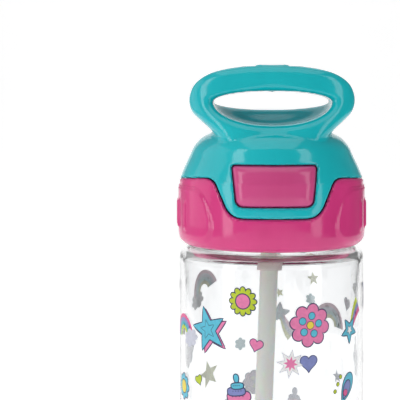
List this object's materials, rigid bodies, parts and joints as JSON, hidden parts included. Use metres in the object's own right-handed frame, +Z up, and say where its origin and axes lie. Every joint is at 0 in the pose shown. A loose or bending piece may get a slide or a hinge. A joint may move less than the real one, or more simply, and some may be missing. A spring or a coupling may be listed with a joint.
{
  "type": "kids water bottle",
  "caption": "Clear screw-top water bottle with a hinged flip lid, push-button latch, carry loop, soft spout and straw.",
  "frame": {"origin": "centre of the bottle's foot, on the surface that it stands on", "axes": "+Z up along the bottle, -Y towards the push button, +X to the right seen from the button side; the lid's hinge is at +Y"},
  "size_m": [0.077, 0.0771, 0.2245],
  "materials": {
    "clear_bottle": "clear moulded copolyester, polished",
    "teal_lid": "glossy moulded polypropylene",
    "pink_cap": "glossy moulded polypropylene",
    "inner_cap_plastic": "satin moulded polypropylene",
    "spout_silicone": "soft translucent silicone",
    "seal_silicone": "matte white silicone",
    "straw_plastic": "translucent extruded polypropylene",
    "latch_plastic": "natural white acetal",
    "spring_steel": "bright stainless wire"
  },
  "bodies": {
    "bottle": {"bottle_body": "clear_bottle"},
    "gasket": {"neck_gasket": "seal_silicone"},
    "cap": {"screw_collar": "pink_cap", "inner_cap": "inner_cap_plastic", "spout": "spout_silicone", "spout_ring": "inner_cap_plastic", "vent_valve": "seal_silicone", "straw_adapter": "spout_silicone", "straw": "straw_plastic", "hinge_pin": "spring_steel", "hinge_spring": "spring_steel"},
    "lid": {"flip_lid": "teal_lid", "lid_liner": "teal_lid", "spout_plug": "seal_silicone", "latch_bracket": "latch_plastic", "bracket_screw_left": "spring_steel", "bracket_screw_right": "spring_steel", "button_spring_left": "spring_steel", "button_spring_right": "spring_steel"},
    "button": {"push_button": "pink_cap", "latch_slider": "latch_plastic"}
  },
  "joints": [
    {"name": "cap_rise", "type": "slide", "parent": "bottle", "child": "gasket", "axis": [0, 0, 1], "range_m": [0, 0.0066]},
    {"name": "cap_twist", "type": "hinge", "parent": "gasket", "child": "cap", "pos_m": [0, 0, 0.16], "axis": [0, 0, 1], "range_deg": [0, 390]},
    {"name": "lid_hinge", "type": "hinge", "parent": "cap", "child": "lid", "pos_m": [0, 0.0374, 0.1779], "axis": [-1, 0, 0], "range_deg": [0, 125]},
    {"name": "button_press", "type": "slide", "parent": "lid", "child": "button", "axis": [0, 1, 0], "range_m": [0, 0.0016], "stiffness_N_per_m": 900, "deforming": ["button_spring_left", "button_spring_right"]}
  ],
  "couplings": [
    {"joint": "cap_rise", "follows": "cap_twist", "m_per_rad": 0.00095493}
  ]
}
